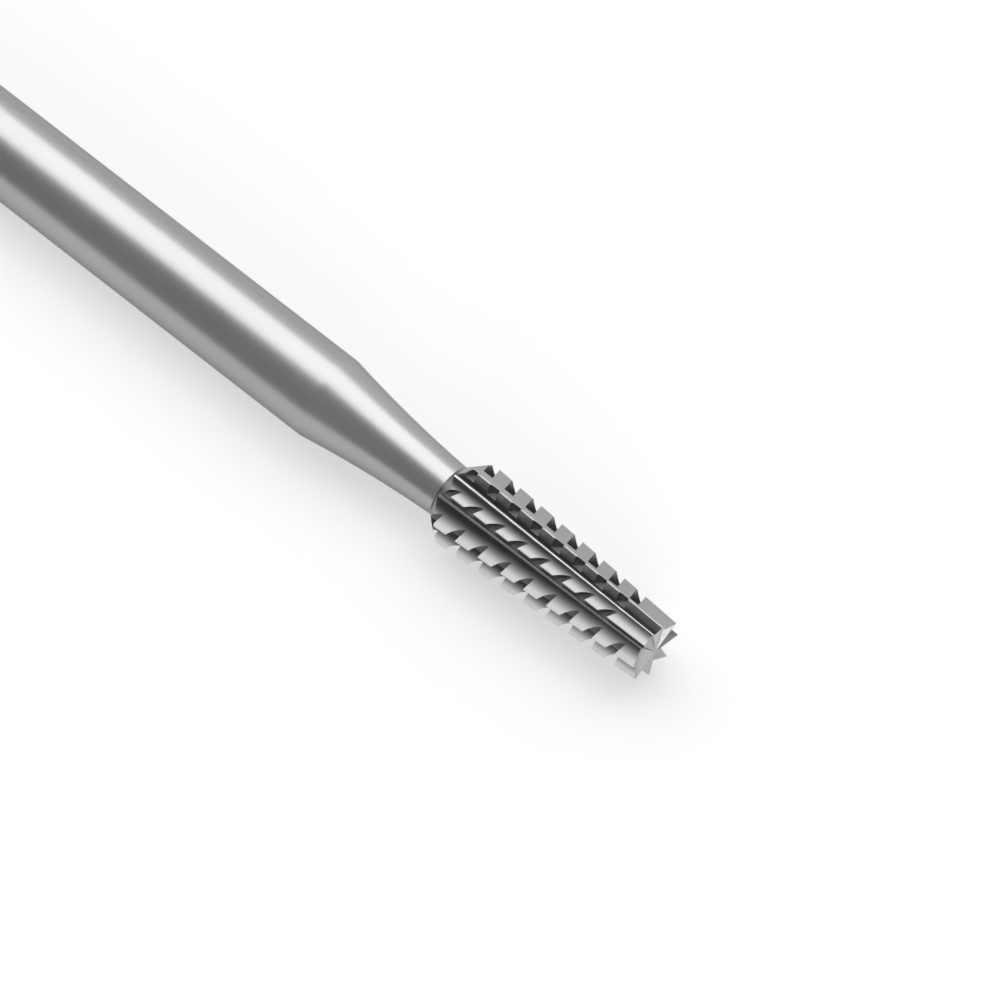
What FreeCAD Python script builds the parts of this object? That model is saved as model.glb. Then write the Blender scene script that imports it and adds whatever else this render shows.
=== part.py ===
"""A tapered cross-cut bur, turned and ground from one rod of steel, in millimetres.

The tool's axis is +X, from the shank's rear end at the origin to the cutting end. Angles about the axis
are counted from +Y towards +Z. The tool cuts turning clockwise seen from its shank, so the flat cutting
faces look towards growing angles and each tooth's relieved back lies behind its edge.
"""
import FreeCAD, Part
import Sketcher
import math
import os

SIZES = {
    # The rod: a standard straight-handpiece shank and length
    "overall_length": 44.5,
    "shank_diameter": 2.35,
    "rear_chamfer": 0.25,
    # The neck is one hollow arc that starts at a crease on the shank
    "neck_length": 4.1,
    "neck_diameter": 1.47,
    "neck_arc_radius": 36.0,
    # The head tapers from the ridge at its back bevel to the flat cutting end
    "head_length": 6.88,
    "ridge_diameter": 2.42,
    "tip_diameter": 1.73,
    "bevel_length": 0.51,
    # Teeth and gullets, as they are at the ridge; the whole section shrinks with the taper
    "tooth_count": 8,
    "first_tooth_angle": 164.4,
    "rake_angle": 15.0,
    "land_angle": 1.2,
    "gullet_diameter": 1.6,
    "gullet_fillet": 0.07,
    "tooth_back_radius": 2.4,
    # Cross-cut notches, measured along a tooth from its tip; they follow a helix round the head
    "first_notch": 0.6,
    "notch_pitch": 0.73,
    "notch_width": 0.3,
    "notch_depth": 0.275,
    "notch_slant": 40.0,
    "notch_front": 0.11,
    # No notch starts nearer than this to the head's back
    "last_notch": 0.33,
    # End teeth: a gash in front of each one slopes from the centre out to its gullet
    "gash_slope": 15.0,
    "end_land": 0.01,
}
# How much wider than the head a cutter reaches
OVERSIZE = 1.15

os.makedirs("parts", exist_ok=True)
doc = FreeCAD.newDocument("crosscut_bur")
sheet = doc.addObject("Spreadsheet::Sheet", "Sizes")
for row, (alias, size) in enumerate(SIZES.items(), start=1):
    sheet.set(f"A{row}", alias)
    sheet.set(f"B{row}", str(size))
    sheet.setAlias(f"B{row}", alias)
doc.recompute()

body = doc.addObject("PartDesign::Body", "crosscut_bur")
body.Label = "crosscut_bur"
body.Placement = FreeCAD.Placement()
origin = {feature.Role: feature for feature in body.Origin.OriginFeatures}
tool_axis = (origin["X_Axis"], [""])

RIDGE = "Sizes.ridge_diameter / 2"
TIP = "Sizes.tip_diameter / 2"
TAPER = f"({RIDGE} - {TIP}) / (Sizes.head_length - Sizes.bevel_length)"
FIRST_TOOTH = "Sizes.first_tooth_angle * 1 deg"
TOOTH_PITCH = "360 deg / Sizes.tooth_count"
RAKE = "Sizes.rake_angle * 1 deg"
GASH_SLOPE = "Sizes.gash_slope * 1 deg"
# How far ahead of a tooth's edge the bottom of its gullet lies, as an angle about the axis
LEAD = (
    f"asin(({RIDGE} * sin({RAKE}) + Sizes.gullet_fillet) / (Sizes.gullet_diameter / 2 + Sizes.gullet_fillet))"
    f" - {RAKE}"
)


def worth(expression):
    """The number that an expression on the sheet comes to."""
    value = sheet.evalExpression(expression)
    return getattr(value, "Value", value)


def spot(x, y):
    return FreeCAD.Vector(x, y, 0)


def polar(radius, degrees):
    return spot(radius * math.cos(math.radians(degrees)), radius * math.sin(math.radians(degrees)))


def arc(centre, start, end):
    """The arc that runs from start to end anticlockwise about its centre."""
    angles = [math.atan2(point.y - centre.y, point.x - centre.x) for point in (start, end)]
    circle = Part.Circle(centre, FreeCAD.Vector(0, 0, 1), start.distanceToPoint(centre))
    return Part.ArcOfCircle(circle, *angles)


def meet(centre, radius, other_centre, other_radius):
    """Where two circles meet, on the left of the way from one centre to the other."""
    way = other_centre - centre
    along = (way.Length ** 2 + radius ** 2 - other_radius ** 2) / 2 / way.Length
    aside = math.sqrt(radius ** 2 - along ** 2)
    way.normalize()
    return centre + way * along + spot(-way.y, way.x) * aside


def new_sketch(name, plane):
    sketch = body.newObject("Sketcher::SketchObject", name)
    sketch.AttachmentSupport = [(origin[plane], "")]
    sketch.MapMode = "FlatFace"
    return sketch


def tilted_sketch(name, angle, pitch, out, along):
    """A sketch turned about the tool's axis and tipped over, which starts out from the axis at this angle."""
    sketch = new_sketch(name, "YZ_Plane")
    places = {
        "Rotation.Yaw": f"mod({angle} + 180 deg, 360 deg) - 180 deg",
        "Rotation.Pitch": pitch,
        "Base.x": f"({out}) * cos({angle})",
        "Base.y": f"({out}) * sin({angle})",
        "Base.z": along,
    }
    for name, expression in places.items():
        sketch.setExpression(f"AttachmentOffset.{name}", expression)
    return sketch


def outline(sketch, *edges, smooth=()):
    """Adds edges that follow each other round a closed outline, and joins each to the next.

    smooth holds the numbers of the edges that run into the next one with no corner.
    """
    sketch.addGeometry(list(edges), False)
    for edge in range(len(edges)):
        following = (edge + 1) % len(edges)

        def gap(pair):
            return sketch.getPoint(edge, pair[0]).distanceToPoint(sketch.getPoint(following, pair[1]))

        one, other = min([(1, 1), (1, 2), (2, 1), (2, 2)], key=gap)
        kind = "Tangent" if edge in smooth else "Coincident"
        sketch.addConstraint(Sketcher.Constraint(kind, edge, one, following, other))


def relate(sketch, kind, *places):
    sketch.addConstraint(Sketcher.Constraint(kind, *places))


def dimension(sketch, name, kind, *places, to):
    """Adds a dimension, and binds it to an expression on the sheet."""
    value = math.radians(worth(to)) if kind == "Angle" else worth(to)
    number = sketch.addConstraint(Sketcher.Constraint(kind, *places, value))
    sketch.renameConstraint(number, name)
    sketch.setExpression(f"Constraints.{name}", to)


def feature(kind, name, **settings):
    made = body.newObject(f"PartDesign::{kind}", name)
    for setting, value in settings.items():
        if isinstance(value, str) and "Sizes." in value:
            made.setExpression(setting, value)
        else:
            setattr(made, setting, value)
    return made


def turned_blank():
    """Shank, neck, bevel and tapered head, turned in one piece."""
    length = worth("Sizes.overall_length")
    neck_end = length - worth("Sizes.head_length")
    neck_start = neck_end - worth("Sizes.neck_length")
    chamfer = worth("Sizes.rear_chamfer")
    shank = worth("Sizes.shank_diameter / 2")
    hollow = worth("Sizes.neck_arc_radius")
    crease = spot(neck_start, shank)
    foot = spot(neck_end, worth("Sizes.neck_diameter / 2"))
    ridge = spot(neck_end + worth("Sizes.bevel_length"), worth(RIDGE))
    tip = spot(length, worth(TIP))

    sketch = new_sketch("blank_profile", "XZ_Plane")
    outline(
        sketch,
        Part.LineSegment(spot(0, 0), spot(0, shank - chamfer)),
        Part.LineSegment(spot(0, shank - chamfer), spot(chamfer, shank)),
        Part.LineSegment(spot(chamfer, shank), crease),
        arc(meet(crease, hollow, foot, hollow), crease, foot),
        Part.LineSegment(foot, ridge),
        Part.LineSegment(ridge, tip),
        Part.LineSegment(tip, spot(length, 0)),
        Part.LineSegment(spot(length, 0), spot(0, 0)),
    )
    rear, chamfered, side, neck, back, cone, end, axis = range(8)
    relate(sketch, "Coincident", rear, 1, -1, 1)
    relate(sketch, "Vertical", rear)
    relate(sketch, "Horizontal", side)
    relate(sketch, "Vertical", end)
    relate(sketch, "Horizontal", axis)
    dimension(sketch, "length", "DistanceX", -1, 1, end, 2, to="Sizes.overall_length")
    dimension(sketch, "shank", "DistanceY", -1, 1, side, 1, to="Sizes.shank_diameter / 2")
    dimension(sketch, "chamfer_along", "DistanceX", chamfered, 1, chamfered, 2, to="Sizes.rear_chamfer")
    dimension(sketch, "chamfer_in", "DistanceY", chamfered, 1, chamfered, 2, to="Sizes.rear_chamfer")
    dimension(sketch, "neck_long", "DistanceX", neck, 1, neck, 2, to="Sizes.neck_length")
    dimension(sketch, "neck", "DistanceY", -1, 1, neck, 2, to="Sizes.neck_diameter / 2")
    dimension(sketch, "neck_arc", "Radius", neck, to="Sizes.neck_arc_radius")
    dimension(sketch, "bevel", "DistanceX", back, 1, back, 2, to="Sizes.bevel_length")
    dimension(sketch, "head_long", "DistanceX", back, 1, end, 2, to="Sizes.head_length")
    dimension(sketch, "ridge", "DistanceY", -1, 1, back, 2, to=RIDGE)
    dimension(sketch, "tip", "DistanceY", -1, 1, cone, 2, to=TIP)
    feature("Revolution", "blank", Profile=sketch, ReferenceAxis=(sketch, ["H_Axis"]), Angle=360)


def gullet_section(name, edge_radius, along):
    """The gullet in front of the first tooth, cut square to the axis where the edges have this radius.

    In the sketch the tooth's edge lies on the horizontal axis. The flat cutting face leans in from it to a
    fillet, which runs into the rounded back of the next tooth.
    """
    sketch = tilted_sketch(name, FIRST_TOOTH, "0 deg", "0", along)
    share = f"({edge_radius}) / ({RIDGE})"
    next_angle = f"{TOOTH_PITCH} - Sizes.land_angle * 1 deg"
    edge = worth(edge_radius)
    rake = worth(RAKE)
    fillet = worth(f"Sizes.gullet_fillet * {share}")
    bottom = worth(f"Sizes.gullet_diameter / 2 * {share}") + fillet
    back = worth(f"Sizes.tooth_back_radius * {share}")
    next_edge = polar(edge, worth(next_angle))

    # The fillet's centre lies this far beside the line through the axis that runs along the cutting face
    beside = edge * math.sin(math.radians(rake)) + fillet
    centre = polar(math.sqrt(bottom ** 2 - beside ** 2), -rake) + polar(beside, 90 - rake)
    foot = centre - polar(fillet, 90 - rake)
    back_centre = meet(centre, back + fillet, next_edge, back)
    touch = centre + (back_centre - centre).normalize() * fillet
    face_end = foot + polar(edge * OVERSIZE - foot.Length, -rake)
    back_end = meet(back_centre, back, spot(0, 0), edge * OVERSIZE)

    outline(
        sketch,
        Part.LineSegment(foot, face_end),
        arc(spot(0, 0), face_end, back_end),
        arc(back_centre, touch, back_end),
        arc(centre, touch, foot),
        smooth=(2, 3),
    )
    sketch.addGeometry(Part.LineSegment(spot(0, 0), spot(edge, 0)), True)
    sketch.addGeometry(Part.LineSegment(spot(0, 0), next_edge), True)
    face, rim, tooth_back, round_foot, spoke, next_spoke = range(6)
    relate(sketch, "Coincident", rim, 3, -1, 1)
    relate(sketch, "Coincident", spoke, 1, -1, 1)
    relate(sketch, "Coincident", next_spoke, 1, -1, 1)
    relate(sketch, "Horizontal", spoke)
    relate(sketch, "PointOnObject", spoke, 2, face)
    relate(sketch, "PointOnObject", next_spoke, 2, tooth_back)
    dimension(sketch, "edge", "Distance", spoke, to=edge_radius)
    dimension(sketch, "next_edge", "Distance", next_spoke, to=edge_radius)
    dimension(sketch, "next_angle", "Angle", next_spoke, to=next_angle)
    dimension(sketch, "rake", "Angle", face, to=f"-{RAKE}")
    dimension(sketch, "rim", "Radius", rim, to=f"({edge_radius}) * {OVERSIZE}")
    dimension(sketch, "fillet", "Radius", round_foot, to=f"Sizes.gullet_fillet * {share}")
    dimension(sketch, "back", "Radius", tooth_back, to=f"Sizes.tooth_back_radius * {share}")
    dimension(
        sketch, "bottom", "Distance", -1, 1, round_foot, 3,
        to=f"(Sizes.gullet_diameter / 2 + Sizes.gullet_fillet) * {share}",
    )
    return sketch


def gullets():
    """The gullets run from the head's back to its end and draw together with the taper."""
    at_back = gullet_section(
        "gullet_at_back", f"{RIDGE} + Sizes.bevel_length * {TAPER}", "Sizes.overall_length - Sizes.head_length"
    )
    at_tip = gullet_section("gullet_at_tip", TIP, "Sizes.overall_length")
    gullet = feature("SubtractiveLoft", "gullet", Profile=at_back, Sections=[at_tip], Ruled=True)
    body.Tip = feature(
        "PolarPattern", "gullets", Originals=[gullet], Axis=tool_axis, Angle=360, Occurrences="Sizes.tooth_count"
    )


def notches():
    """A row of cross-cut notches behind each edge, a share of a pitch further from the tip on each next tooth.

    Each sketch lies on a tooth's edge, with its horizontal axis along the edge towards the shank. The wall on
    the tip's side stands square to the edge, and the other one slants to it behind the edge. Both go down
    along the cutting face, so on that face the notch has upright sides.
    """
    count = round(worth("Sizes.tooth_count"))
    slant = "tan(Sizes.notch_slant * 1 deg)"
    for tooth in range(count):
        angle = f"{FIRST_TOOTH} + {tooth} * {TOOTH_PITCH}"
        sketch = tilted_sketch(
            f"notch_outline_{tooth}", angle, f"90 deg - atan({TAPER})", TIP, "Sizes.overall_length"
        )
        start = f"Sizes.first_notch + {tooth} * Sizes.notch_pitch / Sizes.tooth_count"
        wide = f"Sizes.notch_width + Sizes.notch_front * {slant}"
        deep = f"Sizes.notch_front + Sizes.notch_width / {slant}"
        corner = spot(worth(start), worth("Sizes.notch_front"))
        shank_side = corner + spot(worth(wide), 0)
        behind = corner - spot(0, worth(deep))
        outline(
            sketch,
            Part.LineSegment(behind, corner),
            Part.LineSegment(corner, shank_side),
            Part.LineSegment(shank_side, behind),
        )
        square_wall, front, slanted_wall = range(3)
        relate(sketch, "Vertical", square_wall)
        relate(sketch, "Horizontal", front)
        dimension(sketch, "start", "DistanceX", -1, 1, square_wall, 2, to=start)
        dimension(sketch, "front", "DistanceY", -1, 1, square_wall, 2, to="Sizes.notch_front")
        dimension(sketch, "wide", "DistanceX", front, 1, front, 2, to=wide)
        dimension(sketch, "deep", "DistanceY", square_wall, 1, square_wall, 2, to=deep)
        notch = feature(
            "Pocket", f"notch_{tooth}", Profile=sketch, Length="Sizes.notch_depth",
            UseCustomVector=True, AlongSketchNormal=True,
        )
        notch.setExpression("Direction.x", "0")
        notch.setExpression("Direction.y", f"-cos({angle} - {RAKE})")
        notch.setExpression("Direction.z", f"-sin({angle} - {RAKE})")
        toothed = f"Sizes.head_length - Sizes.last_notch - ({start})"
        body.Tip = feature(
            "LinearPattern", f"notch_row_{tooth}", Originals=[notch], Direction=(sketch, ["H_Axis"]),
            Mode="Spacing", Offset="Sizes.notch_pitch",
            Occurrences=f"floor(({toothed}) / Sizes.notch_pitch) + 1",
        )


def end_teeth():
    """A V-shaped gash in front of each end tooth; its bottom slopes from the centre out to the gullet.

    The sketch stands square to that bottom, with its horizontal axis up out of the gash. The steep side
    carries the tooth's own edge and the shallow side relieves the next one's.
    """
    sketch = tilted_sketch(
        "gash_outline", f"{FIRST_TOOTH} + {LEAD}", f"{GASH_SLOPE} - 90 deg", "0",
        "Sizes.overall_length + Sizes.end_land",
    )
    rise = f"{RIDGE} * sin({GASH_SLOPE})"
    steep = f"{RIDGE} * tan({LEAD})"
    shallow = f"{RIDGE} * tan({TOOTH_PITCH} - ({LEAD}))"
    bottom = spot(0, 0)
    own_edge = spot(worth(rise), -worth(steep))
    next_edge = spot(worth(rise), worth(shallow))
    outline(
        sketch,
        Part.LineSegment(bottom, own_edge),
        Part.LineSegment(own_edge, next_edge),
        Part.LineSegment(next_edge, bottom),
    )
    steep_side, top, shallow_side = range(3)
    relate(sketch, "Coincident", steep_side, 1, -1, 1)
    relate(sketch, "Vertical", top)
    dimension(sketch, "rise", "DistanceX", -1, 1, steep_side, 2, to=rise)
    dimension(sketch, "steep", "DistanceY", steep_side, 2, -1, 1, to=steep)
    dimension(sketch, "shallow", "DistanceY", -1, 1, shallow_side, 1, to=shallow)
    gash = feature("Pocket", "gash", Profile=sketch, Length=f"{RIDGE} * {OVERSIZE}")
    body.Tip = feature(
        "PolarPattern", "gashes", Originals=[gash], Axis=tool_axis, Angle=360, Occurrences="Sizes.tooth_count"
    )


for step in (turned_blank, gullets, notches, end_teeth):
    step()
    doc.recompute()
    print(step.__name__, round(body.Shape.Volume, 4), "mm3,", len(body.Shape.Faces), "faces")

for made in doc.Objects:
    if {"Invalid", "Error"} & set(made.State):
        raise RuntimeError(f"{made.Name} failed: {made.State}")
    if made.isDerivedFrom("Sketcher::SketchObject") and made.solve():
        raise RuntimeError(f"{made.Name} can't be solved")
if body.Shape.isNull() or not body.Shape.isValid() or len(body.Shape.Solids) != 1:
    raise RuntimeError("the bur isn't one valid solid")
body.Shape.exportStep(f"parts/{body.Label}.step")
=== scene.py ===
"""The looks of a tapered cross-cut bur: one rod of ground steel on a pale floor under soft studio light.

The tool's axis is +X, from the shank's rear end at the origin to the cutting end. Angles about the axis
are counted from +Y towards +Z, and each tooth's flat cutting face looks towards growing angles.
"""
import math

import bmesh
import bpy
from mathutils import Matrix, Vector


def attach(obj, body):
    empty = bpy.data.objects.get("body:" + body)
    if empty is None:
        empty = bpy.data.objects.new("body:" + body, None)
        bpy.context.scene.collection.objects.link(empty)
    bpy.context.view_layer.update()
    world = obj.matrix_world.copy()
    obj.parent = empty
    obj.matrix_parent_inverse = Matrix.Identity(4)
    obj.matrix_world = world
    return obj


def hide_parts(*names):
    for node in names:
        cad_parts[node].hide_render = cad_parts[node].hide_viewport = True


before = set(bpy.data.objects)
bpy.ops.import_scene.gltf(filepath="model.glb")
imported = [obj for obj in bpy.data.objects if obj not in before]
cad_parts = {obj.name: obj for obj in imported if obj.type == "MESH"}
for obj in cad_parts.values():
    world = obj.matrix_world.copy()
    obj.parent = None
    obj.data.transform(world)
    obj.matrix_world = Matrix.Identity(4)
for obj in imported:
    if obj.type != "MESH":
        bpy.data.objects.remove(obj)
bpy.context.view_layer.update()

# Lengths in millimetres: the mesh is made at this size and brought to metres when it is finished
TO_METRES = 0.001
LENGTH = 44.5
SHANK = 2.35 / 2
REAR_CHAMFER = 0.25
NECK_LENGTH = 4.1
NECK = 1.47 / 2
NECK_ARC = 36.0
HEAD = 6.88
RIDGE = 2.42 / 2
TIP = 1.73 / 2
BEVEL = 0.51
TAPER = (RIDGE - TIP) / (HEAD - BEVEL)

# The teeth, as their section is at the ridge
TEETH = 8
TOOTH_PITCH = math.tau / TEETH
FIRST_TOOTH = math.radians(164.4)
RAKE = math.radians(15)
LAND = math.radians(1.2)
GULLET = 1.6 / 2
GULLET_FILLET = 0.07
TOOTH_BACK = 2.4

# The cross-cut notches, along a tooth's edge from its tip
FIRST_NOTCH = 0.6
NOTCH_PITCH = 0.73
NOTCH_WIDTH = 0.3
NOTCH_DEPTH = 0.275
NOTCH_SLANT = math.tan(math.radians(40))
NOTCH_FRONT = 0.11
LAST_NOTCH = 0.33
# How far a notch leans to the tip behind the edge, and the radius of its slanted wall
NOTCH_LEAN = 0.085
NOTCH_CURVE = 0.7

# The gashes of the end teeth
GASH_SLOPE = math.radians(15)
END_LAND = 0.01

# Edges and faces finer than this, which the cuts leave, are cleaned away
SPECK = 0.002
# How far a cutter stands out of the steel that it cuts
CLEAR = 0.2
# Faces that meet at more than this keep a crisp edge between them
CRISP = math.radians(28)
X_AXIS = Vector((1, 0, 0))

# Tones of the steel, from 0 for black to 1 for white. The shank wanders between two. On the head the tones
# are painted light and shade, set by the kind of surface: a tooth's back goes from the first at its edge to
# the second, painted shade, in the gullet, and the cutting faces and the notches are painted dark as shade
SHANK_TONES = (0.35, 0.41)
BACK_PAINTED_LIGHT_AND_SHADE = (0.75, 0.07)
GULLET_TONE = 0.5
FACE_PAINTED_SHADE = 0.19
WALL_PAINTED_SHADE = 0.22
NOTCH_FLOOR_PAINTED_SHADE = 0.17
FOOT_TONE = 0.4
END_TONE = 0.5

# How many marks of the grinding a metre holds, along a line or ring and across it, and their depth
MARKS_ALONG = 900.0
MARKS_ACROSS = 42000.0
MARK_DEPTH = 0.004
# How many clouds of slightly other steel a metre holds, along the tool and across it
CLOUDS = (250.0, 700.0, 700.0)

# The room: the grey around it, the floor's own grey and how strongly the floor glows
ROOM_GREY = 0.33
FLOOR_GREY = 0.4
FLOOR_GLOW = 0.49

# The camera, in metres: its direction, its distance, what it looks at and how much it sees there
AZIMUTH = math.radians(42.2)
ELEVATION = math.radians(58.6)
DISTANCE = 0.4
TARGET = Vector((0.0388, 0.00055, 0.00025))
PICTURE_WIDTH = 0.0249


def along_axis(x, radius, angle=0.0):
    """The point at x on the axis, this far out from it at this angle."""
    return Vector((x, radius * math.cos(angle), radius * math.sin(angle)))


def swing(mesh, vertex, centre, axis, angle, steps):
    """Draws an arc from a vertex about an axis through centre, and returns the arc's last vertex."""
    made = bmesh.ops.spin(
        mesh, geom=[vertex], cent=centre, axis=axis, angle=angle, steps=steps, use_merge=False
    )
    return next(part for part in made["geom_last"] if isinstance(part, bmesh.types.BMVert))


def join_up(mesh, vertices):
    """Draws straight edges from each vertex to the next."""
    for one, other in zip(vertices, vertices[1:]):
        mesh.edges.new((one, other))


def round_the_axis(mesh, copies):
    """Sets copies of everything in the mesh evenly round the tool's axis."""
    turn = math.tau / copies
    bmesh.ops.spin(
        mesh, geom=mesh.verts[:] + mesh.edges[:] + mesh.faces[:], cent=(0, 0, 0), axis=X_AXIS,
        angle=turn * (copies - 1), steps=copies - 1, use_duplicate=True,
    )


def as_object(mesh, name):
    """Makes an object of a finished mesh, with its faces pointing outwards."""
    bmesh.ops.recalc_face_normals(mesh, faces=mesh.faces[:])
    data = bpy.data.meshes.new(name)
    mesh.to_mesh(data)
    mesh.free()
    made = bpy.data.objects.new(name, data)
    bpy.context.scene.collection.objects.link(made)
    return made


def turned_rod(steps=240):
    """Shank, neck, bevel and tapered head in one piece, before any tooth is cut."""
    mesh = bmesh.new()
    neck_end = LENGTH - HEAD
    crease = mesh.verts.new((neck_end - NECK_LENGTH, SHANK, 0))
    foot = Vector((neck_end, NECK, 0))
    way = foot - crease.co
    aside = math.sqrt(NECK_ARC ** 2 - way.length_squared / 4)
    centre = (crease.co + foot) / 2 + Vector((0, 0, 1)).cross(way).normalized() * aside
    sweep = 2 * math.asin(way.length / 2 / NECK_ARC)
    neck_foot = swing(mesh, crease, centre, (0, 0, 1), sweep, steps=24)
    rear = [(0, 0, 0), (0, SHANK - REAR_CHAMFER, 0), (REAR_CHAMFER, SHANK, 0)]
    front = [(neck_end + BEVEL, RIDGE, 0), (LENGTH, TIP, 0), (LENGTH, 0, 0)]
    join_up(mesh, [mesh.verts.new(point) for point in rear] + [crease])
    join_up(mesh, [neck_foot] + [mesh.verts.new(point) for point in front])
    bmesh.ops.spin(
        mesh, geom=mesh.verts[:] + mesh.edges[:], cent=(0, 0, 0), axis=X_AXIS,
        angle=math.tau, steps=steps, use_merge=True,
    )
    bmesh.ops.remove_doubles(mesh, verts=mesh.verts[:], dist=1e-5)
    return as_object(mesh, "turned_rod")


def gullet_wheel():
    """The room between two teeth, which tapers with the head, for every gullet."""
    bottom = GULLET + GULLET_FILLET
    beside = RIDGE * math.sin(RAKE) + GULLET_FILLET
    along_face = along_axis(0, 1, FIRST_TOOTH - RAKE)
    off_face = X_AXIS.cross(along_face)
    centre = along_face * math.sqrt(bottom ** 2 - beside ** 2) + off_face * beside
    next_edge = along_axis(0, RIDGE, FIRST_TOOTH + TOOTH_PITCH - LAND)
    way = next_edge - centre
    radius = TOOTH_BACK + GULLET_FILLET
    along = (way.length_squared + radius ** 2 - TOOTH_BACK ** 2) / 2 / way.length
    aside = math.sqrt(radius ** 2 - along ** 2)
    back_centre = centre + way.normalized() * along + X_AXIS.cross(way).normalized() * aside
    touch = centre + (back_centre - centre).normalized() * GULLET_FILLET
    foot = centre - off_face * GULLET_FILLET
    # The wheel's outer corners and the end of the back's arc lie well clear of the head
    out = 1.4 * RIDGE
    mid_out = 1.25 * out
    far_out = 1.1 * out
    overrun = 1.25

    mesh = bmesh.new()
    start = mesh.verts.new(foot)
    round_foot = -(touch - centre).angle(foot - centre)
    touched = swing(mesh, start, centre, X_AXIS, round_foot, steps=10)
    back_turn = (next_edge - back_centre).angle(touch - back_centre) * overrun
    back_top = swing(mesh, touched, back_centre, X_AXIS, back_turn, steps=16)
    face_top = mesh.verts.new(foot + along_face * (out - GULLET))
    far_top = mesh.verts.new(back_top.co.normalized() * far_out)
    mid_top = mesh.verts.new((far_top.co + face_top.co).normalized() * mid_out)
    join_up(mesh, [start, face_top, mid_top, far_top, back_top])
    bmesh.ops.contextual_create(mesh, geom=mesh.edges[:])

    back = LENGTH - HEAD - CLEAR
    tip = LENGTH + CLEAR
    grown = bmesh.ops.extrude_face_region(mesh, geom=mesh.faces[:])
    far_end = [part for part in grown["geom"] if isinstance(part, bmesh.types.BMVert)]
    near_end = [vertex for vertex in mesh.verts if vertex not in set(far_end)]
    for vertices, x in ((near_end, back), (far_end, tip)):
        size = (TIP + (LENGTH - x) * TAPER) / RIDGE
        place = Matrix.Translation((x, 0, 0)) @ Matrix.Diagonal((1, size, size, 1))
        bmesh.ops.transform(mesh, verts=vertices, matrix=place)
    round_the_axis(mesh, TEETH)
    return as_object(mesh, "gullet_wheel")


def notch_wheel():
    """One wedge for every cross-cut notch: its walls go down along the tooth's cutting face.

    In plan, a hollow slanted wall and a straight one meet behind the edge in a point.
    """
    mesh = bmesh.new()
    to_shank = Vector((-1, TAPER, 0)).normalized()
    up = Vector((TAPER, 1, 0)).normalized()
    front = Vector((0, 0, 1))
    tip_corner = Vector((LENGTH, TIP, 0))
    down = Vector((0, -math.cos(RAKE), math.sin(RAKE)))
    down /= -down.dot(up)
    deep = NOTCH_WIDTH / NOTCH_SLANT
    point = tip_corner - to_shank * NOTCH_LEAN - front * deep - down * CLEAR
    way = to_shank * (NOTCH_WIDTH + NOTCH_LEAN) + front * deep
    aside = math.sqrt(NOTCH_CURVE ** 2 - way.length_squared / 4)
    across = to_shank.cross(front)
    centre = point + way / 2 + across.cross(way).normalized() * aside
    apex = mesh.verts.new(point)
    half_sweep = math.asin(way.length / 2 / NOTCH_CURVE)
    at_edge = swing(mesh, apex, centre, across, 2 * half_sweep, steps=6)
    onwards = way.normalized()
    onwards.rotate(Matrix.Rotation(half_sweep, 3, across))
    far_front = mesh.verts.new(at_edge.co + onwards * (NOTCH_FRONT / onwards.dot(front)))
    near_front = mesh.verts.new(point + (to_shank * NOTCH_LEAN / deep + front) * (deep + NOTCH_FRONT))
    join_up(mesh, [at_edge, far_front, near_front, apex])
    bmesh.ops.contextual_create(mesh, geom=mesh.edges[:])
    grown = bmesh.ops.extrude_face_region(mesh, geom=mesh.faces[:])
    floor_corners = [part for part in grown["geom"] if isinstance(part, bmesh.types.BMVert)]
    bmesh.ops.translate(mesh, verts=floor_corners, vec=down * (CLEAR + NOTCH_DEPTH))
    wedge_vertices = mesh.verts[:]
    wedge = wedge_vertices + mesh.edges[:] + mesh.faces[:]
    for tooth in range(TEETH):
        turn = Matrix.Rotation(FIRST_TOOTH + tooth * TOOTH_PITCH, 4, X_AXIS)
        along = FIRST_NOTCH + tooth * NOTCH_PITCH / TEETH
        while along < HEAD - LAST_NOTCH:
            copied = bmesh.ops.duplicate(mesh, geom=wedge)
            vertices = [part for part in copied["geom"] if isinstance(part, bmesh.types.BMVert)]
            bmesh.ops.transform(mesh, verts=vertices, matrix=turn @ Matrix.Translation(to_shank * along))
            along += NOTCH_PITCH
    bmesh.ops.delete(mesh, geom=wedge_vertices, context="VERTS")
    return as_object(mesh, "notch_wheel")


def gash_wheels():
    """A V-shaped wedge for the gash in front of each end tooth."""
    sine = (RIDGE * math.sin(RAKE) + GULLET_FILLET) / (GULLET + GULLET_FILLET)
    lead = math.asin(sine) - RAKE
    out = Vector((-math.sin(GASH_SLOPE), math.cos(GASH_SLOPE), 0))
    up = Vector((math.cos(GASH_SLOPE), math.sin(GASH_SLOPE), 0))
    front = Vector((0, 0, 1))
    rise = RIDGE * math.sin(GASH_SLOPE)
    steep = RIDGE * math.tan(lead)
    shallow = RIDGE * math.tan(TOOTH_PITCH - lead)
    taller = 1.5
    made = []
    for tooth in range(TEETH):
        mesh = bmesh.new()
        bottom = Vector((LENGTH + END_LAND, 0, 0))
        own_side = bottom + (up * rise - front * steep) * taller
        next_side = bottom + (up * rise + front * shallow) * taller
        mesh.faces.new([mesh.verts.new(point) for point in (bottom, own_side, next_side)])
        grown = bmesh.ops.extrude_face_region(mesh, geom=mesh.faces[:])
        far_end = [part for part in grown["geom"] if isinstance(part, bmesh.types.BMVert)]
        bmesh.ops.translate(mesh, verts=far_end, vec=out * RIDGE * taller)
        turn = Matrix.Rotation(FIRST_TOOTH + lead + tooth * TOOTH_PITCH, 3, X_AXIS)
        bmesh.ops.rotate(mesh, verts=mesh.verts[:], cent=(0, 0, 0), matrix=turn)
        made.append(as_object(mesh, f"gash_wheel_{tooth}"))
    return made


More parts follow.
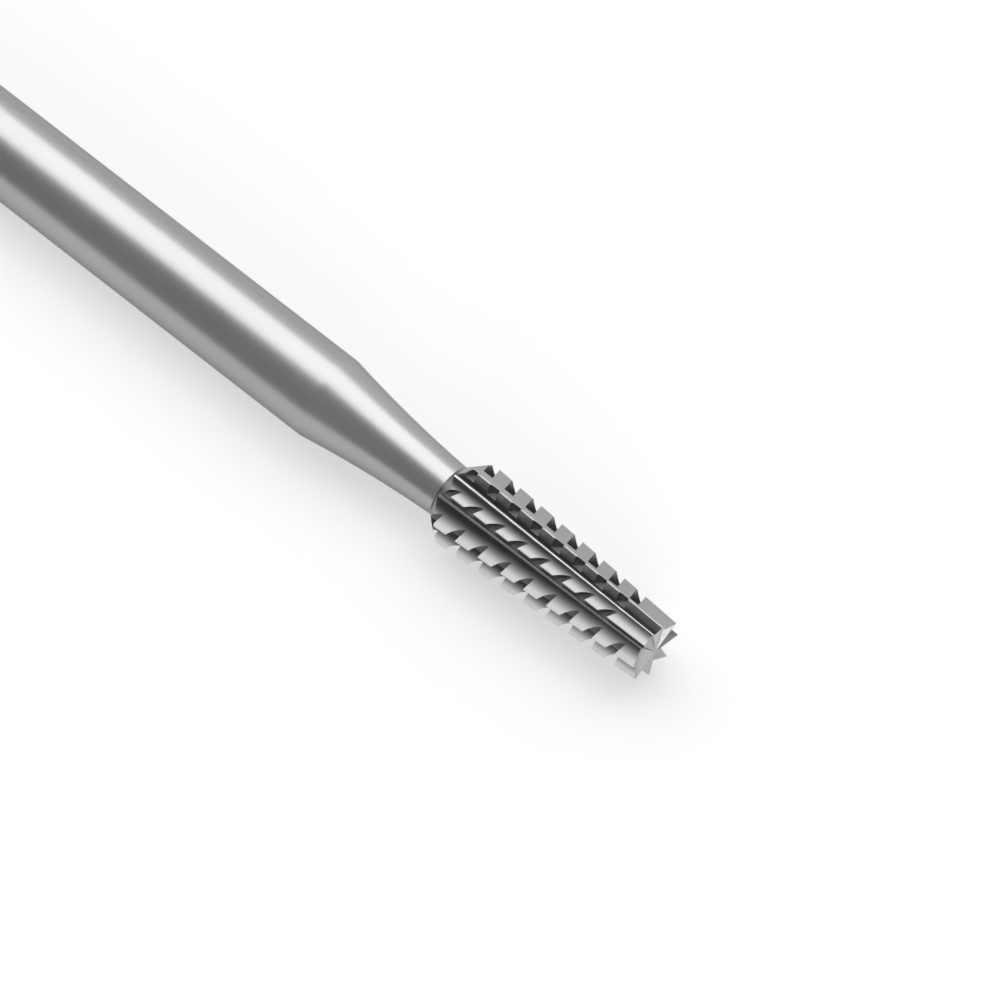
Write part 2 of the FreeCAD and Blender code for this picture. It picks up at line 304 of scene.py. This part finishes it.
def ground_bur():
    """The rod with every gullet, notch and gash cut."""
    rod = turned_rod()
    wheels = [gullet_wheel(), notch_wheel(), *gash_wheels()]
    for wheel in wheels:
        cut = rod.modifiers.new(wheel.name, "BOOLEAN")
        cut.operation = "DIFFERENCE"
        cut.solver = "MANIFOLD"
        cut.object = wheel
    bpy.context.view_layer.update()
    cut_rod = rod.evaluated_get(bpy.context.evaluated_depsgraph_get())
    mesh = bmesh.new()
    mesh.from_mesh(cut_rod.to_mesh())
    for used in [rod, *wheels]:
        bpy.data.objects.remove(used)

    bmesh.ops.remove_doubles(mesh, verts=mesh.verts[:], dist=SPECK)
    bmesh.ops.dissolve_degenerate(mesh, edges=mesh.edges[:], dist=SPECK)
    # Split into triangles here, no thin face comes out folded on its neighbour
    bmesh.ops.triangulate(mesh, faces=mesh.faces[:])
    bmesh.ops.scale(mesh, verts=mesh.verts[:], vec=(TO_METRES,) * 3)
    bur = as_object(mesh, "ground_bur")
    bur.data.shade_smooth()
    bur.data.set_sharp_from_angle(angle=CRISP)
    return bur


def maths(operation, *values):
    """Adds the node for this operation on numbers and wires, at least one of which is a wire."""
    tree = next(value.tree for value in values if isinstance(value, Wire))
    return node(tree, "ShaderNodeMath", {"operation": operation}, dict(enumerate(values)))


class Wire:
    """A number, colour or vector on its way between shader nodes; sums on it add the nodes they need."""

    def __init__(self, tree, socket):
        self.tree = tree
        self.socket = socket

    def __add__(self, other):
        return maths("ADD", self, other)

    def __sub__(self, other):
        return maths("SUBTRACT", self, other)

    def __rsub__(self, other):
        return maths("SUBTRACT", other, self)

    def __mul__(self, other):
        return maths("MULTIPLY", self, other)

    __radd__ = __add__
    __rmul__ = __mul__


def parts_of(vector):
    """The three numbers of a vector on its way between nodes."""
    apart = node(vector.tree, "ShaderNodeSeparateXYZ", sockets={"Vector": vector})
    return [Wire(vector.tree, socket) for socket in apart.socket.node.outputs]


def node(tree, kind, settings=None, sockets=None, output=0):
    """Adds a node, with its settings first and then its sockets' values or wires; returns an output."""
    made = tree.nodes.new(kind)
    for name, value in (settings or {}).items():
        setattr(made, name, value)
    for name, value in (sockets or {}).items():
        if isinstance(value, Wire):
            tree.links.new(value.socket, made.inputs[name])
        else:
            made.inputs[name].default_value = value
    return Wire(tree, made.outputs[output])


def ground_steel():
    """Bare ground steel: fine rings on the turned lengths and fine lines along the teeth.

    The backs of the teeth are matt and carry painted shade that gets darker towards the gullet, and the
    cutting faces and the notches are painted dark as shade; the head's tones are painted light and shade,
    set by the kind of surface.
    """
    material = bpy.data.materials.new("ground_steel")
    material.use_nodes = True
    tree = material.node_tree
    shader = tree.nodes["Principled BSDF"]
    place = node(tree, "ShaderNodeTexCoord", output="Object")
    facing = Wire(tree, place.socket.node.outputs["Normal"])
    x, y, z = parts_of(place)
    facing_x, facing_y, facing_z = parts_of(facing)
    out = maths("SQRT", y * y + z * z)
    facing_round = maths("DIVIDE", facing_z * y - facing_y * z, out)
    facing_out = maths("DIVIDE", facing_y * y + facing_z * z, out)

    def grain(stretch, detail=3.0):
        """Noise with so many grains to a metre along each axis."""
        stretched = node(tree, "ShaderNodeVectorMath", {"operation": "MULTIPLY"}, {0: place, 1: stretch})
        return node(
            tree, "ShaderNodeTexNoise", {"noise_dimensions": "3D"},
            {"Vector": stretched, "Scale": 1.0, "Detail": detail, "Roughness": 0.6},
        )

    def ramp(value, low, high):
        """Goes smoothly from 0 to 1 while the value goes from low to high."""
        return node(
            tree, "ShaderNodeMapRange", {"interpolation_type": "SMOOTHSTEP"},
            {"Value": value, "From Min": low, "From Max": high},
        )

    def reach(length, start, end):
        """Goes smoothly from 0 to 1 while a length goes from start to end, both given in millimetres."""
        return ramp(length, start * TO_METRES, end * TO_METRES)

    def blend(share, one, other):
        """Goes from one tone to the other: numbers, for greys with a trace of blue, or colours on wires."""
        one, other = (
            tone if isinstance(tone, Wire) else (tone, tone, tone * 1.01, 1) for tone in (one, other)
        )
        return node(
            tree, "ShaderNodeMix", {"data_type": "RGBA"}, {"Factor": share, 6: one, 7: other}, output=2
        )

    # Where a point lies on the head, and how deep it is under the line of the teeth's edges
    neck_end = LENGTH - HEAD
    head = reach(x, neck_end - 0.05, neck_end + 0.1)
    toothed = reach(x, neck_end + BEVEL, neck_end + BEVEL + 0.05)
    short_of_tip = 1 - reach(x, LENGTH - 0.3, LENGTH - 0.25)
    edge = (LENGTH * TO_METRES - x) * TAPER + TIP * TO_METRES
    deep = edge - out

    # Each kind of surface is told by the way it faces, where 1 is straight that way and 0 square to it
    back = ramp(facing_round * -1, 0.2, 0.5)
    face = ramp(facing_round, 0.3, 0.6)
    wall = ramp(maths("ABSOLUTE", facing_x), 0.12, 0.25) * toothed * short_of_tip
    foot = (1 - back) * (1 - face) * (1 - ramp(maths("DIVIDE", out, edge), 0.667, 0.682))
    notch_floor = ramp(facing_out, 0.85, 0.95) * reach(deep, 0.1, 0.15) * (1 - foot)
    end = (1 - short_of_tip) * ramp(facing_x, 0.1, 0.2)

    rings = grain((MARKS_ACROSS, MARKS_ALONG, MARKS_ALONG))
    lines = grain((MARKS_ALONG, MARKS_ACROSS, MARKS_ACROSS))
    cloud = grain(CLOUDS, detail=4.0)
    marks = rings * (1 - head) + lines * head
    shank_tone = blend(cloud, *SHANK_TONES)
    # Painted shade: a tooth's back goes from the light tone at its edge to the dark one the deeper it lies
    # in the gullet
    back_painted_light_and_shade = blend(reach(deep, 0.06, 0.34), *BACK_PAINTED_LIGHT_AND_SHADE)
    # Painted light and shade: the cutting faces, the notch walls and the notch floors get dark tones, and
    # the gullet's foot and the end gashes tones of their own
    head_tone = blend(face, blend(back, GULLET_TONE, back_painted_light_and_shade), FACE_PAINTED_SHADE)
    head_tone = blend(notch_floor, blend(wall, head_tone, WALL_PAINTED_SHADE), NOTCH_FLOOR_PAINTED_SHADE)
    head_tone = blend(end, blend(foot, head_tone, FOOT_TONE), END_TONE)
    tone = blend(head, shank_tone, head_tone)

    # The backs and the notch floors are matt, and the foot of a gullet is the smoothest
    rough = 0.23 + marks * 0.08 + cloud * 0.06 + head * (back * 0.6 + notch_floor * 0.4 - foot * 0.1)
    bump = node(
        tree, "ShaderNodeBump",
        sockets={"Strength": 0.2, "Distance": MARK_DEPTH * TO_METRES, "Height": marks},
    )
    for socket, wire in (("Base Color", tone), ("Roughness", rough), ("Normal", bump)):
        tree.links.new(wire.socket, shader.inputs[socket])
    shader.inputs["Metallic"].default_value = 1
    # At a grazing angle the steel stays greyer than polished metal
    shader.inputs["Specular Tint"].default_value = (0.6, 0.6, 0.6, 1)
    return material


def pale_floor():
    """A wide plain floor that the shank rests on. Only the camera and reflections see its glow."""
    mesh = bmesh.new()
    bmesh.ops.create_grid(mesh, x_segments=1, y_segments=1, size=2.0)
    bmesh.ops.translate(mesh, verts=mesh.verts[:], vec=(0, 0, -SHANK * TO_METRES))
    floor = as_object(mesh, "floor")
    material = bpy.data.materials.new("floor_paper")
    material.use_nodes = True
    tree = material.node_tree
    paper = tree.nodes["Principled BSDF"]
    paper.inputs["Base Color"].default_value = (FLOOR_GREY, FLOOR_GREY, FLOOR_GREY, 1)
    paper.inputs["Roughness"].default_value = 0.9
    rays = node(tree, "ShaderNodeLightPath")
    seen = maths("MAXIMUM", rays, Wire(tree, rays.socket.node.outputs["Is Glossy Ray"]))
    seen = maths("MAXIMUM", seen, Wire(tree, rays.socket.node.outputs["Is Transmission Ray"]))
    glow = node(
        tree, "ShaderNodeEmission", sockets={"Color": (1, 1, 1, 1), "Strength": seen * FLOOR_GLOW}
    )
    both = node(tree, "ShaderNodeAddShader", sockets={0: Wire(tree, paper.outputs[0]), 1: glow})
    tree.links.new(both.socket, tree.nodes["Material Output"].inputs["Surface"])
    floor.data.materials.append(material)


def softbox(name, lean, angle, twist, distance, width, length, radiance):
    """A rectangular lamp at this angle about the tool's axis, which leans so far to the cutting end.

    Its sizes and its distance from the head are in metres, and its angles in degrees. Twist turns it
    in its own plane, away from lying along the tool.
    """
    lamp = bpy.data.lights.new(name, "AREA")
    lamp.shape = "RECTANGLE"
    lamp.size = length
    lamp.size_y = width
    lamp.energy = radiance * math.pi * width * length
    hung = bpy.data.objects.new(name, lamp)
    away = along_axis(lean, 1, math.radians(angle)).normalized()
    across = away.cross(X_AXIS).normalized()
    along = across.cross(away)
    place = Matrix((along, across, away)).transposed() @ Matrix.Rotation(math.radians(twist), 3, "Z")
    place.resize_4x4()
    place.translation = Vector(((LENGTH - HEAD) * TO_METRES, 0, 0)) + away * distance
    hung.matrix_world = place
    bpy.context.scene.collection.objects.link(hung)


def studio():
    """A dim room, a long softbox overhead, a weaker one behind, a small one in front, and the camera."""
    scene = bpy.context.scene
    world = bpy.data.worlds.new("dim_room")
    world.use_nodes = True
    around = world.node_tree.nodes["Background"]
    around.inputs["Color"].default_value = (ROOM_GREY, ROOM_GREY, ROOM_GREY, 1)
    scene.world = world
    softbox(
        "overhead_softbox", lean=-0.37, angle=70, twist=28,
        distance=0.4, width=0.4, length=0.95, radiance=2.15,
    )
    softbox(
        "rear_softbox", lean=-0.37, angle=22, twist=28,
        distance=0.5, width=0.27, length=0.9, radiance=0.7,
    )
    softbox(
        "front_fill", lean=0.9, angle=155, twist=0,
        distance=0.5, width=0.25, length=0.25, radiance=7.0,
    )

    level = math.cos(ELEVATION)
    away = Vector((math.sin(AZIMUTH) * level, -math.cos(AZIMUTH) * level, math.sin(ELEVATION)))
    camera = bpy.data.cameras.new("camera")
    camera.lens = camera.sensor_width * DISTANCE / PICTURE_WIDTH
    camera.clip_start = 0.01
    camera.clip_end = 20
    eye = bpy.data.objects.new("camera", camera)
    eye.location = TARGET + away * DISTANCE
    eye.rotation_euler = away.to_track_quat("Z", "Y").to_euler()
    scene.collection.objects.link(eye)
    scene.camera = eye
    scene.view_settings.view_transform = "Standard"


bur = ground_bur()
bur.data.materials.append(ground_steel())
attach(bur, "root")
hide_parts("crosscut_bur")
pale_floor()
studio()
